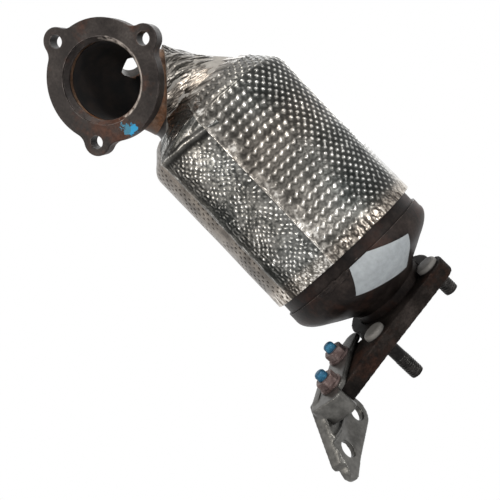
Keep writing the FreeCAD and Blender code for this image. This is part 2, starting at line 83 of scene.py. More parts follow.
# How far the foil's relief stands off its solid
FOIL_LIFT = 1.0
# Length and spacing of the jacket's grid, and how far down it the crown ends
JACKET_LENGTH = 146
JACKET_STEP = 0.6
SHOULDER_AT = 17.5
# Where the near-black lining of painted shade ends on the inlet's centre line, its depth in the pipe, and its
# thickness
SHADE_LINING_END = 0.6
SHADE_LINING_DEPTH = 2.25
SHADE_LINING_T = 0.25
# A thread's length, its gap from the plate, its pitch and groove, and how far its sleeve sinks in
THREAD_LENGTH = 17.0
THREAD_GAP = 1.0
THREAD_PITCH = 1.75
THREAD_DEPTH = 0.33
THREAD_SKIN = 0.2
BEAD_SINK = 0.4


def smooth(x, low, high):
    """0 below low, 1 above high, an easy curve between."""
    t = np.clip((np.asarray(x, float) - low) / (high - low), 0, 1)
    return t * t * (3 - 2 * t)


class Noise:
    """Smooth value noise on a grid that repeats, with values from -1 to 1."""

    def __init__(self, seed, size=256):
        self.size = size
        self.grid = np.random.default_rng(seed).uniform(-1, 1, (size, size))

    def at(self, x, y):
        x0 = np.floor(x).astype(int)
        y0 = np.floor(y).astype(int)
        fx = x - x0
        fy = y - y0
        fx = fx * fx * (3 - 2 * fx)
        fy = fy * fy * (3 - 2 * fy)
        n = self.size
        a = self.grid[x0 % n, y0 % n]
        b = self.grid[(x0 + 1) % n, y0 % n]
        c = self.grid[x0 % n, (y0 + 1) % n]
        d = self.grid[(x0 + 1) % n, (y0 + 1) % n]
        return (a * (1 - fx) + b * fx) * (1 - fy) + (c * (1 - fx) + d * fx) * fy

    def layers(self, x, y, count=3):
        total = 0
        for k in range(count):
            total = total + self.at(x * 2 ** k + 17.3 * k, y * 2 ** k + 5.1 * k) / 2 ** k
        return total


def mesh_object(name, points_mm, faces, shades=None):
    """A mesh from points in millimetres, with named values per point for its material."""
    mesh = bpy.data.meshes.new(name)
    mesh.from_pydata((np.asarray(points_mm) * MM).tolist(), [], faces)
    for key, values in (shades or {}).items():
        layer = mesh.attributes.new(key, "FLOAT", "POINT")
        layer.data.foreach_set("value", np.asarray(values, np.float32).ravel())
    mesh.polygons.foreach_set("use_smooth", [True] * len(mesh.polygons))
    mesh.update()
    obj = bpy.data.objects.new(name, mesh)
    bpy.context.scene.collection.objects.link(obj)
    return obj


def grid_faces(rows, columns, closed=False):
    """Quads of a grid whose points run along the columns first."""
    faces = []
    last = columns if closed else columns - 1
    for i in range(rows - 1):
        for j in range(last):
            k = (j + 1) % columns
            faces.append((i * columns + j, i * columns + k, (i + 1) * columns + k, (i + 1) * columns + j))
    return faces


def sheet_object(name, outer, inner, shades, closed=False, coarse=4):
    """A thin sheet: a fine outer grid, a coarser inner one, and rims that join them."""
    rows, columns = outer.shape[:2]
    down = sorted(set(range(0, rows, coarse)) | {rows - 1})
    over = sorted(set(range(0, columns, coarse)) | ({columns - 1} if not closed else set()))
    values = {key: np.broadcast_to(value, (rows, columns)) for key, value in shades.items()}
    points = [outer.reshape(-1, 3), inner[np.ix_(down, over)].reshape(-1, 3)]
    kept = {key: [value.ravel(), value[np.ix_(down, over)].ravel()] for key, value in values.items()}
    faces = grid_faces(rows, columns, closed)
    base = rows * columns
    faces += [tuple(base + v for v in reversed(f)) for f in grid_faces(len(down), len(over), closed)]
    base += len(down) * len(over)
    index = np.arange(rows * columns).reshape(rows, columns)
    rims = [(index[0], False), (index[-1], True)]
    if not closed:
        rims += [(index[:, 0], True), (index[:, -1], False)]
    for line, flip in rims:
        points.append(inner.reshape(-1, 3)[line])
        for key, value in values.items():
            kept[key].append(value.ravel()[line])
        count = len(line)
        wraps = closed and count == columns
        for i in range(count if wraps else count - 1):
            j = (i + 1) % count
            quad = (int(line[i]), base + i, base + j, int(line[j]))
            faces.append(tuple(reversed(quad)) if flip else quad)
        base += count
    joined = {key: np.concatenate(value) for key, value in kept.items()}
    return mesh_object(name, np.concatenate(points), faces, joined)


def glint(lift, along_step, across_step, target_along, target_across, spread):
    """How nearly each place of a relief leans towards a chosen slope, from 0 to 1: a painted highlight, as a
    fixed light would give, for the colour.
    """
    slope_along = np.gradient(lift, axis=0) / along_step
    slope_across = np.gradient(lift, axis=1) / across_step
    miss = (slope_along - target_along) ** 2 + (slope_across - target_across) ** 2
    return np.exp(-miss / (2 * spread ** 2))


# Materials

def new_material(name, metallic=0.0, roughness=0.5):
    material = bpy.data.materials.new(name)
    material.use_nodes = True
    shader = material.node_tree.nodes["Principled BSDF"]
    shader.inputs["Metallic"].default_value = metallic
    shader.inputs["Roughness"].default_value = roughness
    return material, material.node_tree, shader


def object_coords(tree):
    return tree.nodes.new("ShaderNodeTexCoord").outputs["Object"]


def vector_math(tree, operation, first, second=None):
    node = tree.nodes.new("ShaderNodeVectorMath")
    node.operation = operation
    for socket, value in zip(node.inputs, (first, second)):
        if isinstance(value, bpy.types.NodeSocket):
            tree.links.new(value, socket)
        elif value is not None:
            socket.default_value = value
    return node.outputs["Value" if operation in ("DOT_PRODUCT", "LENGTH") else "Vector"]


def noise_node(tree, scale, detail=4.0, roughness=0.6):
    noise = tree.nodes.new("ShaderNodeTexNoise")
    noise.inputs["Scale"].default_value = scale
    noise.inputs["Detail"].default_value = detail
    noise.inputs["Roughness"].default_value = roughness
    tree.links.new(object_coords(tree), noise.inputs["Vector"])
    return noise.outputs["Fac"]


def ramp_node(tree, factor, stops):
    ramp = tree.nodes.new("ShaderNodeValToRGB")
    elements = ramp.color_ramp.elements
    while len(elements) > len(stops):
        elements.remove(elements[-1])
    while len(elements) < len(stops):
        elements.new(1.0)
    for element, (place, color) in zip(elements, stops):
        element.position = place
        element.color = (*color, 1.0)
    tree.links.new(factor, ramp.inputs["Fac"])
    return ramp.outputs["Color"]


def mix_node(tree, factor, first, second, mode="MIX"):
    mix = tree.nodes.new("ShaderNodeMix")
    mix.data_type = "RGBA"
    mix.blend_type = mode
    for key, value in (("Factor", factor), ("A", first), ("B", second)):
        socket = mix.inputs[key]
        if isinstance(value, bpy.types.NodeSocket):
            tree.links.new(value, socket)
        elif isinstance(value, (int, float)):
            socket.default_value = value
        else:
            socket.default_value = (*value, 1.0)
    return mix.outputs["Result"]


def attribute_node(tree, name):
    node = tree.nodes.new("ShaderNodeAttribute")
    node.attribute_name = name
    return node.outputs["Fac"]


def map_range(tree, value, low, high, to_low=0.0, to_high=1.0):
    node = tree.nodes.new("ShaderNodeMapRange")
    node.inputs["From Min"].default_value = low
    node.inputs["From Max"].default_value = high
    node.inputs["To Min"].default_value = to_low
    node.inputs["To Max"].default_value = to_high
    tree.links.new(value, node.inputs["Value"])
    return node.outputs["Result"]


def bump(tree, shader, height, distance_mm, strength=1.0):
    node = tree.nodes.new("ShaderNodeBump")
    node.inputs["Distance"].default_value = distance_mm * MM
    node.inputs["Strength"].default_value = strength
    tree.links.new(height, node.inputs["Height"])
    tree.links.new(node.outputs["Normal"], shader.inputs["Normal"])


def past_plane(tree, point_mm, direction, low_mm, high_mm):
    """0 to 1 between two distances past a point along a direction."""
    along = vector_math(tree, "DOT_PRODUCT", object_coords(tree), direction)
    level = Vector(point_mm).dot(Vector(direction))
    return map_range(tree, along, (level + low_mm) * MM, (level + high_mm) * MM)


def near_point(tree, point_mm, reach_mm, ragged_mm=0.0, stretch=(1, 1, 1)):
    """1 at a point, falling to 0 at some reach, with a ragged border."""
    moved = vector_math(tree, "SUBTRACT", object_coords(tree), Vector(point_mm) * MM)
    length = vector_math(tree, "LENGTH", vector_math(tree, "MULTIPLY", moved, stretch))
    edge = map_range(tree, noise_node(tree, 260.0, 4.0), 0.3, 0.7, -ragged_mm * MM, ragged_mm * MM)
    total = tree.nodes.new("ShaderNodeMath")
    tree.links.new(length, total.inputs[0])
    tree.links.new(edge, total.inputs[1])
    return map_range(tree, total.outputs[0], reach_mm * MM, reach_mm * 0.75 * MM)


def add_paint(material, mask_of, color):
    """Lays a patch of another colour over a finished material."""
    tree = material.node_tree
    shader = tree.nodes["Principled BSDF"]
    under = shader.inputs["Base Color"].links[0].from_socket
    mask = mask_of(tree)
    tree.links.new(mix_node(tree, mask, under, color), shader.inputs["Base Color"])
    dull = shader.inputs["Metallic"].default_value
    tree.links.new(map_range(tree, mask, 0, 1, dull, 0.0), shader.inputs["Metallic"])


def occlusion(tree, reach_mm):
    node = tree.nodes.new("ShaderNodeAmbientOcclusion")
    node.samples = 4
    node.inputs["Distance"].default_value = reach_mm * MM
    return node.outputs["AO"]


def edge_mask(tree, radius_mm):
    """Bright where the surface turns sharply, from a bevelled normal set against the true one."""
    bevel = tree.nodes.new("ShaderNodeBevel")
    bevel.samples = 4
    bevel.inputs["Radius"].default_value = radius_mm * MM
    geometry = tree.nodes.new("ShaderNodeNewGeometry")
    likeness = vector_math(tree, "DOT_PRODUCT", bevel.outputs["Normal"], geometry.outputs["Normal"])
    return map_range(tree, likeness, 0.985, 0.9)


def oxide_metal(name, tones, rust=None, rust_share=0.5, worn=None, metallic=0.3, roughness=0.55, scale=60.0,
                grain_mm=0.12, hollow_shade_mm=10.0, painted_shade=(0.25, 0.25, 0.25), specular=0.2):
    """Scaled steel: three tones in blotches, rust in patches, worn edges, and painted shade in the hollows
    from ambient occlusion.
    """
    material, tree, shader = new_material(name, metallic, roughness)
    shader.inputs["Specular IOR Level"].default_value = specular
    dark, mid, light = tones
    blotch = noise_node(tree, scale, 6.0, 0.65)
    color = ramp_node(tree, blotch, ((0.34, dark), (0.5, mid), (0.68, light)))
    if rust:
        patch = noise_node(tree, scale * 0.42, 5.0, 0.7)
        mask = map_range(tree, patch, rust_share, rust_share + 0.12)
        stops = ((0.35, tuple(c * 0.55 for c in rust)), (0.65, rust))
        mottled = ramp_node(tree, noise_node(tree, scale * 5, 4.0), stops)
        color = mix_node(tree, mask, color, mottled)
    fine = noise_node(tree, scale * 12, 4.0, 0.65)
    shade = ramp_node(tree, fine, ((0.3, (0.6, 0.6, 0.6)), (0.7, (1.15, 1.15, 1.15))))
    color = mix_node(tree, 1.0, color, shade, "MULTIPLY")
    if worn:
        rub = ramp_node(tree, noise_node(tree, scale * 3, 3.0), ((0.4, (0, 0, 0)), (0.6, (0.8, 0.8, 0.8))))
        edge = mix_node(tree, 1.0, rub, edge_mask(tree, 0.9), "MULTIPLY")
        color = mix_node(tree, edge, color, worn)
    # Painted shade: ambient occlusion darkens the colour in hollows, corners and between parts.
    if hollow_shade_mm:
        hollow = ramp_node(tree, occlusion(tree, hollow_shade_mm), ((0.25, painted_shade), (0.85, (1, 1, 1))))
        color = mix_node(tree, 1.0, color, hollow, "MULTIPLY")
    tree.links.new(color, shader.inputs["Base Color"])
    tree.links.new(map_range(tree, blotch, 0.3, 0.7, roughness - 0.12, roughness + 0.15),
                   shader.inputs["Roughness"])
    bump(tree, shader, fine, grain_mm, 0.6)
    return material


def foil_material(name):
    """Aluminium foil, dark and rougher where the height value is low, bright and smoother where it is high;
    that value holds painted shade in the hollows and painted highlights on the ridges and glints.
    """
    material, tree, shader = new_material(name, 1.0, 0.3)
    height = attribute_node(tree, "height")
    tint = attribute_node(tree, "tint")
    cool_color = ramp_node(tree, height, ((0.1, (0.02, 0.022, 0.021)), (0.3, (0.055, 0.058, 0.055)),
                                          (0.6, (0.21, 0.21, 0.2)), (0.9, (0.8, 0.79, 0.76))))
    warm_color = ramp_node(tree, height, ((0.1, (0.04, 0.033, 0.028)), (0.3, (0.10, 0.085, 0.072)),
                                          (0.6, (0.33, 0.285, 0.24)), (0.9, (0.9, 0.83, 0.74))))
    color = mix_node(tree, tint, cool_color, warm_color)
    speck = ramp_node(tree, noise_node(tree, 700.0, 3.0), ((0.36, (0.55, 0.55, 0.55)), (0.6, (1, 1, 1))))
    tree.links.new(mix_node(tree, 0.8, color, mix_node(tree, 1.0, color, speck, "MULTIPLY")),
                   shader.inputs["Base Color"])
    tree.links.new(map_range(tree, height, 0.0, 1.0, 0.42, 0.2), shader.inputs["Roughness"])
    return material


def plain_material(name, color, metallic, roughness):
    material, tree, shader = new_material(name, metallic, roughness)
    shade = ramp_node(tree, noise_node(tree, 220.0), ((0.3, tuple(c * 0.75 for c in color)), (0.7, color)))
    tree.links.new(shade, shader.inputs["Base Color"])
    return material


RUST_FLANGE = oxide_metal("rust_flange",
                          ((0.014, 0.011, 0.010), (0.030, 0.0245, 0.022), (0.058, 0.049, 0.044)),
                          (0.08, 0.036, 0.023), 0.53, (0.20, 0.17, 0.155), 0.15, 0.45, 46.0, 0.12, 12.0,
                          specular=0.12)
RUST_PIPE = oxide_metal("rust_pipe", ((0.05, 0.028, 0.018), (0.17, 0.10, 0.062), (0.40, 0.29, 0.21)),
                        (0.26, 0.12, 0.06), 0.5, None, 0.2, 0.55, 60.0, 0.08, 0.0)
SHELL = oxide_metal("shell_steel", ((0.03, 0.026, 0.024), (0.06, 0.052, 0.047), (0.12, 0.108, 0.097)),
                    None, 0.5, None, 0.5, 0.45, 40.0)
OUTLET = oxide_metal("outlet_oxide", ((0.007, 0.0055, 0.005), (0.015, 0.0112, 0.0098), (0.038, 0.029, 0.025)),
                     (0.05, 0.023, 0.016), 0.5, (0.12, 0.10, 0.085), 0.05, 0.38, 36.0, 0.14, 14.0,
                     specular=0.08)
PLATE = oxide_metal("plate_oxide", ((0.007, 0.006, 0.0055), (0.016, 0.0128, 0.011), (0.04, 0.032, 0.028)),
                    (0.04, 0.02, 0.014), 0.55, (0.11, 0.09, 0.08), 0.0, 0.5, 52.0, 0.14, 12.0, specular=0.02)
STUD = oxide_metal("stud_steel", ((0.005, 0.0045, 0.004), (0.01, 0.009, 0.0085), (0.026, 0.024, 0.022)),
                   None, 0.5, (0.10, 0.09, 0.085), 0.3, 0.38, 120.0, 0.06, 3.0, specular=0.1)
THREAD = oxide_metal("stud_thread", ((0.006, 0.0055, 0.005), (0.014, 0.0125, 0.0115), (0.038, 0.034, 0.032)),
                     None, 0.5, (0.24, 0.23, 0.21), 0.4, 0.36, 120.0, 0.03, 0.8, specular=0.1)
TIPPED = oxide_metal("tipped_stud", ((0.012, 0.05, 0.085), (0.02, 0.10, 0.18), (0.05, 0.22, 0.35)),
                     None, 0.5, None, 0.1, 0.4, 150.0, 0.05, 5.0)
CAST = oxide_metal("cast_bracket", ((0.075, 0.073, 0.067), (0.115, 0.111, 0.103), (0.17, 0.165, 0.153)),
                   None, 0.5, None, 0.8, 0.30, 22.0, 0.012, 24.0, (0.04, 0.04, 0.04))
NUT = oxide_metal("nut_steel", ((0.07, 0.045, 0.04), (0.15, 0.105, 0.096), (0.30, 0.235, 0.22)),
                  (0.05, 0.14, 0.22), 0.6, None, 0.5, 0.42, 130.0, 0.04, 5.0)
FOIL = foil_material("shield_foil")
MAT = plain_material("fibre_mat", (0.30, 0.28, 0.25), 0.0, 0.95)
BRICK = plain_material("coated_ceramic", (0.55, 0.47, 0.36), 0.0, 0.9)
MESH_RING = plain_material("steel_mesh", (0.3, 0.29, 0.27), 0.8, 0.5)
PAPER = plain_material("label_paper", (0.31, 0.33, 0.335), 0.0, 0.6)


def paint_node(name, material):
    mesh = NODES[name].data
    mesh.materials.clear()
    mesh.materials.append(material)


# Foil jacket round the can

def jacket_profile(inner_r, count):
    """Points down the jacket from its crown to its bottom edge, with outward normals, in (r, z)."""
    rise = (inner_r - SHIELD_R) * 0.4
    x0, z0 = inner_r - SHIELD_CROWN_DROP, SHIELD_CROWN_Z + rise
    x1, z1 = inner_r, SHIELD_SHOULDER_Z + rise
    crown = math.hypot(x1 - x0, z1 - z0)
    s = np.linspace(0, crown + z1 - SHIELD_BOTTOM_Z, count)
    r = np.where(s < crown, x0 + (x1 - x0) * s / crown, x1)
    z = np.where(s < crown, z0 + (z1 - z0) * s / crown, z1 - (s - crown))
    blend = 6.0
    near = np.clip((s - (crown - blend)) / (2 * blend), 0, 1)
    inside = (near > 0) & (near < 1)
    ax, az = x1 - (x1 - x0) * blend / crown, z1 - (z1 - z0) * blend / crown
    r = np.where(inside, ax * (1 - near) ** 2 + x1 * 2 * near * (1 - near) + x1 * near ** 2, r)
    z = np.where(inside, az * (1 - near) ** 2 + z1 * 2 * near * (1 - near) + (z1 - blend) * near ** 2, z)
    dr, dz = np.gradient(r), np.gradient(z)
    length = np.hypot(dr, dz)
    return s, r, z, -dz / length, dr / length


def ridges(across, along):
    """Wavy ridges round the can, each a chain of bumps, from 0 to 1."""
    beat = 2 * np.pi * across / (0.86 * EMBOSS_PITCH)
    crest = np.cos(2 * np.pi * (along + 0.8 * np.sin(beat)) / EMBOSS_PITCH)
    return (0.5 + 0.5 * crest) ** 2.4 * (0.58 + 0.42 * np.cos(beat + 0.8))


def studs(across, along, pitch):
    """Round bumps with others in their gaps, from 0 to 1."""
    return smooth(np.cos(2 * np.pi * across / pitch) * np.cos(2 * np.pi * along / pitch), 0.1, 0.95)


def jacket(name, inner_r, start, span, step, seed, dress):
    """One panel of the jacket. dress gives how far each point is lifted, its shades and its glint."""
    s, r, z, nr, nz = jacket_profile(inner_r, int(JACKET_LENGTH / step))
    theta = np.radians(start + np.linspace(0, span, int(math.radians(span) * inner_r / step)))
    S, A = np.meshgrid(s, theta, indexing="ij")
    lift, crumpled, shade, tint = dress(np.degrees(A), S, A * SHIELD_R, Noise(seed))
    # shine is a painted highlight, baked into the colour where the crumpled relief leans towards a fixed
    # slope.
    shine = glint(lift, step, step, 0.08, 0.08, 0.13) * crumpled
    lift = np.maximum(lift + FOIL_LIFT, 0.05 + FOIL_T)
    grids = []
    for depth in (0.0, FOIL_T):
        R = r[:, None] + nr[:, None] * (lift - depth)
        Z = z[:, None] + nz[:, None] * (lift - depth)
        grids.append(np.stack([CAN_X + R * np.cos(A), CAN_Y + R * np.sin(A), Z], -1))
    # The height value is not the relief's height: it is the painted glint plus the dress's shade, which holds
    # painted highlights and random tone.
    shades = {"height": np.clip(0.2 + 0.6 * shine + shade, 0, 1), "tint": np.clip(tint, 0, 1)}
    return sheet_object(name, grids[0], grids[1], shades)


def main_dress(angle, s, u, noise):
    """The large panel: even embossing that breaks up at the seam, the crown and the bottom edge."""
    wander = 0.9 * noise.at(u / 21, s / 21)
    sway = 0.9 * noise.at(u / 19 + 40, s / 23)
    far = smooth(angle + 5 * noise.at(s / 25, u / 25), -52, -38)
    bumps = ridges(u + sway, s + wander) * (1 - far) + studs(u + sway, s + wander, EMBOSS_PITCH) * far
    top = 1 - smooth(s, 14, 24)
    bottom = smooth(s, 133, 141)
    seam = 1 - smooth(angle + 3 * noise.at(s / 7, s / 31), -82, -75)
    rim = smooth(angle, -24, -12) * (1 - smooth(angle, 30, 50))
    right = smooth(angle, -14, 0) * (1 - smooth(angle, 30, 55))
    rough = np.clip(0.5 * top + bottom + seam + 0.85 * right, 0, 1)
    even = 1 - rough
    strokes = noise.layers(u / 2.6, s / 8.5, 3) * bottom + 0.3 * noise.layers(u / 4.0, s / 3.2, 3) * seam
    strokes = strokes + 0.3 * noise.layers(u / 3.1, s / 3.1, 2) * (top + right)
    folds = 0.9 * noise.at(u / 37, s / 33) + 0.6 * noise.at(u / 14, s / 17)
    crown_edge = s - SHOULDER_AT
    shoulder = (np.exp(-(crown_edge / 5) ** 2) * 0.5
                + np.exp(-(crown_edge / 1.3) ** 2) * (0.4 + 0.3 * noise.at(u / 30, s)))
    hem = np.exp(-((angle + 84.2) / 0.9) ** 2)
    lift = 0.9 * (even + 0.25 * rough) * (bumps - 0.3) + 0.5 * strokes + folds + shoulder + 0.5 * hem
    lift = (lift + 0.06 * noise.layers(u / 1.6, s / 1.6, 2)) * (1 - 0.55 * rim)
    # Painted highlights: the bumps' tops and the hem's ridge are painted lighter, and so are the right-hand
    # side and the seam strip; the noise below is random tone.
    shade = even * (0.75 - 0.1 * far) * bumps + 0.3 * right * bumps + 0.2 * hem + 0.28 * right + 0.1 * seam
    shade = (shade + 0.09 * noise.layers(u / 8, s / 8, 2)
             + 0.12 * noise.layers(u / 2.2, s / 2.2, 2) * (0.4 + rough))
    shade = shade + 0.12 * smooth(noise.at(u / 33 + 3, s / 24), 0.1, 0.8)
    tint = 0.2 + 0.35 * noise.at(u / 45, s / 30) + 0.25 * (1 - smooth(angle, -75, -45)) + 0.5 * bottom
    return lift, rough, shade, tint


def lap_dress(angle, s, u, noise):
    """The lapped panel: a pocket of finer bumps inside a folded border, then a plain band."""
    wander = 1.5 * noise.at(u / 8, s / 8)
    sway = 1.5 * noise.at(u / 8 + 40, s / 9)
    wander = wander + 0.9 * noise.at(u / 3.5, s / 3.5)
    bumps = studs(u + sway, s + wander, 0.74 * EMBOSS_PITCH)
    bumps = bumps * np.clip(0.75 + 0.8 * noise.at(u / 4, s / 4), 0, 1)
    fold_line = 27.0 - (-77 - angle) / 55 * 10 + 1.6 * noise.at(u / 9, s / 60)
    below = s - fold_line
    inside = smooth(angle, -122, -118) * smooth(below, 2, 6)
    band = 1 - smooth(angle + 1.5 * noise.at(s / 12, 0 * s), -128, -125)
    bottom = smooth(s, 131, 139)
    shoulder = np.exp(-((s - SHOULDER_AT) / 5) ** 2)
    fold = np.exp(-(below / 1.9) ** 2) * (angle > -127) * 1.5
    border = np.exp(-((angle + 124.3 + 0.9 * noise.at(s / 9, u / 60)) / 1.5) ** 2) * smooth(s, 16, 22) * 1.2
    inner_rows = np.exp(-((angle + 117.5) / 4.2) ** 2) * smooth(below, 3, 8)
    dashes = inner_rows * np.cos(2 * np.pi * (u + 0.6 * wander) / 3.1)
    dashes = dashes * smooth(np.cos(2 * np.pi * (s + sway) / 6.2), -0.7, 0.1)
    ribs = smooth(-below, 1, 4) * (angle > -128) * noise.layers(u / 17 + s / 9, s / 2.4 + u / 13, 2)
    crumple = noise.layers(u / 3.4, s / 6.5, 3)
    dots = np.cos(2 * np.pi * u / 4.3) * 0.5 + np.cos(2 * np.pi * (s + 0.4 * wander + 0.5 * u) / 4.6) * 0.5
    dots = smooth(dots, 0.5, 0.85) * band * smooth(angle, -166, -132)
    dots = dots * smooth(noise.at(u / 8, s / 8), -0.5, 0.2)
    lift = 0.6 * inside * (bumps - 0.3) + fold + 0.9 * border + 0.35 * dashes + 0.6 * ribs - 0.45 * dots
    lift = lift + 0.3 * crumple * (0.35 * inside + border + bottom)
    lift = lift + 0.6 * noise.at(u / 31, s / 29) + 0.5 * shoulder
    lift = lift + 0.07 * (1 - band) * noise.layers(u / 1.4, s / 1.4, 2)
    crumpled = np.clip(1 - band - 0.75 * inside + bottom, 0, 1)
    # Here the pocket's bumps, the fold's crest and the border's crest get painted highlights, and a painted
    # shadow runs under the fold; the rows of dashes and dots, the plain band and the noise are the foil's own
    # tone.
    shade = 0.1 * noise.layers(u / 7, s / 7, 2) + inside * (0.66 * bumps + 0.16)
    shade = shade - 0.24 * inner_rows + 0.35 * dashes
    shade = shade + 0.14 * fold - 0.3 * np.exp(-((below - 4) / 1.6) ** 2) * (angle > -125) + 0.12 * border
    shade = shade + 0.14 * noise.layers(u / 2, s / 2, 2) * inside
    shade = shade + band * (0.26 + 0.06 * noise.layers(u / 20, s / 50, 2)) - 0.5 * dots
    tint = 0.15 + 0.8 * band + 0.25 * noise.at(u / 25, s / 25) + 0.5 * bottom
    return lift, crumpled, shade, tint


def foil_piece(obj, node):
    obj.data.materials.append(FOIL)
    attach(obj, "root")
    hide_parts(node)


def build_jacket():
    main = jacket("foil_main", SHIELD_R + 2 * FOIL_T, SEAM_ANGLE, 360 - LAP_SPAN, JACKET_STEP, 11, main_dress)
    lap_start = SEAM_ANGLE - LAP_SPAN - SEAM_LAP
    lap = jacket("foil_lap", SHIELD_R, lap_start, LAP_SPAN + 2 * SEAM_LAP, JACKET_STEP, 12, lap_dress)
    foil_piece(main, "shield_main")
    foil_piece(lap, "shield_lap_panel")


# Inlet wrap

def path_point(t):
    a, b, c, d = INLET_PATH
    t = np.asarray(t, float)[..., None]
    s = 1 - t
    return a * s ** 3 + 3 * b * s * s * t + 3 * c * s * t * t + d * t ** 3


def circle_direction(t):
    a, b, c, d = INLET_PATH
    opened = inlet_opened(t)[:, None]
    t = np.asarray(t, float)[:, None]
    s = 1 - t
    v = (b - a) * s * s + (c - b) * 2 * s * t + (d - c) * t * t
    v = v / np.linalg.norm(v, axis=1, keepdims=True)
    v = v * (1 - opened) - np.array([0, 0, 1.0]) * opened
    return v / np.linalg.norm(v, axis=1, keepdims=True)


def inlet_opened(t):
    places, opened = zip(*INLET_FLARE)
    return np.interp(t, places, opened)


def inlet_grid(stations, angles):
    """Places on the inlet's centre line and outward directions, over stations and angles."""
    along = circle_direction(stations)
    side = np.array([1.0, 0, 0]) - along * along[:, :1]
    side = side / np.linalg.norm(side, axis=1, keepdims=True)
    other = np.cross(along, side)
    out = np.cos(angles)[None, :, None] * side[:, None] + np.sin(angles)[None, :, None] * other[:, None]
    radius = PIPE_R + (COLLAR_R - PIPE_R) * inlet_opened(stations)
    return path_point(stations)[:, None], out, radius[:, None, None]


def rest_on_crown(points, clearance):
    """Lifts the points that would fall inside the can's crown up onto it."""
    reach = np.hypot(points[..., 0] - CAN_X, points[..., 1] - CAN_Y)
    fall = (SHIELD_CROWN_Z - SHIELD_SHOULDER_Z) / SHIELD_CROWN_DROP
    rim = SHIELD_R - SHIELD_CROWN_DROP
    top = SHIELD_CROWN_Z - np.clip(reach - rim, -4, 30) * fall + clearance
    lifted = points.copy()
    lifted[..., 2] = np.maximum(points[..., 2], top)
    return lifted


def build_wrap():
    stations = np.linspace(0.0, 0.93, 200)
    angles = np.linspace(0, 2 * math.pi, 400, endpoint=False)
    centre, out, radius = inlet_grid(stations, angles)
    T, A = np.meshgrid(stations, angles, indexing="ij")
    noise = Noise(21)
    ring = A * 12 / math.pi
    wrapped = np.minimum(ring, 24 - ring)
    run = T * 17
    skew = wrapped + 0.5 * run
    fan = noise.layers(skew * 2.1, run * 0.55, 3)
    crease = 1 - 2 * np.abs(np.clip(noise.layers(skew * 0.9 + 31, run * 0.33, 2), -1, 1))
    fine = noise.layers(skew * 5.5, run * 3.0, 2)
    dotted = studs(A * PIPE_R * 1.3, T * 105, 5.6) * (1 - smooth(T, 0.28, 0.42))
    lift = 0.5 * fan + 0.5 * crease + 0.16 * fine + 0.35 * dotted
    # shine is a painted highlight, and height below is painted light rather than relief: the glint, lighter
    # raised fans, creases and dots, and lighter towards the can's end.
    shine = glint(lift, 0.55, 0.62, 0.12, 0.15, 0.2)
    height = 0.1 + 0.5 * shine + 0.12 * fan + 0.1 * crease + 0.32 * dotted + 0.16 * smooth(T, 0.55, 0.8)
    tint = 0.55 + 0.5 * noise.at(skew / 2.3, run / 3) - 0.4 * (1 - smooth(T, 0.2, 0.4))
    grids = []
    for depth in (FOIL_T, 0.0):
        grid = centre + out * (radius + INLET_MAT_T + depth + lift[..., None])
        grids.append(rest_on_crown(grid, 1.1 + depth + 0.5 * lift))
    shades = {"height": np.clip(height, 0, 1), "tint": np.clip(tint, 0, 1)}
    obj = sheet_object("foil_inlet", grids[0], grids[1], shades, closed=True)
    normal = WRAP_CUT_NORMAL / np.linalg.norm(WRAP_CUT_NORMAL)
    cut_mesh(obj, WRAP_CUT_POINT, -normal)
    boss = path_point([BOSS_STATION])[0]
    lean = BOSS_LEAN / np.linalg.norm(BOSS_LEAN)
    drop_near_axis(obj, boss, lean, BOSS_R + 2.0)
    drop_near_axis(obj, EYELET_POINT, (0, -1, 0), EYELET_R)
    foil_piece(obj, "shield_inlet_wrap")


def cut_mesh(obj, point_mm, away):
    """Cuts a mesh along a plane and drops the side that away points to."""
    bm = bmesh.new()
    bm.from_mesh(obj.data)
    parts = bm.verts[:] + bm.edges[:] + bm.faces[:]
    place = Vector(point_mm) * MM
    bmesh.ops.bisect_plane(bm, geom=parts, plane_co=place, plane_no=Vector(away), clear_outer=True)
    bm.to_mesh(obj.data)
    bm.free()


def drop_near_axis(obj, start_mm, direction, radius_mm):
    """Removes the faces that lie round an axis, on the side that it points to."""
    bm = bmesh.new()
    bm.from_mesh(obj.data)
    start = Vector(start_mm) * MM
    axis = Vector(direction)
    gone = []
    for face in bm.faces:
        away = face.calc_center_median() - start
        along = away.dot(axis)
        if along > 0 and (away - axis * along).length < radius_mm * MM:
            gone.append(face)
    bmesh.ops.delete(bm, geom=gone, context="FACES")
    bm.to_mesh(obj.data)
    bm.free()


# Outlet plate, studs and bracket, in the plate's own frame

def plate_matrix():
    down = np.array([0, math.sin(OUTLET_TILT), -math.cos(OUTLET_TILT)])
    place = Vector(PIVOT + down * OUTLET_REACH) * MM
    turn = Matrix.Rotation(OUTLET_TILT, 4, "X") @ Matrix.Rotation(math.radians(PLATE_TURN), 4, "Z")
    return Matrix.Translation(place) @ turn


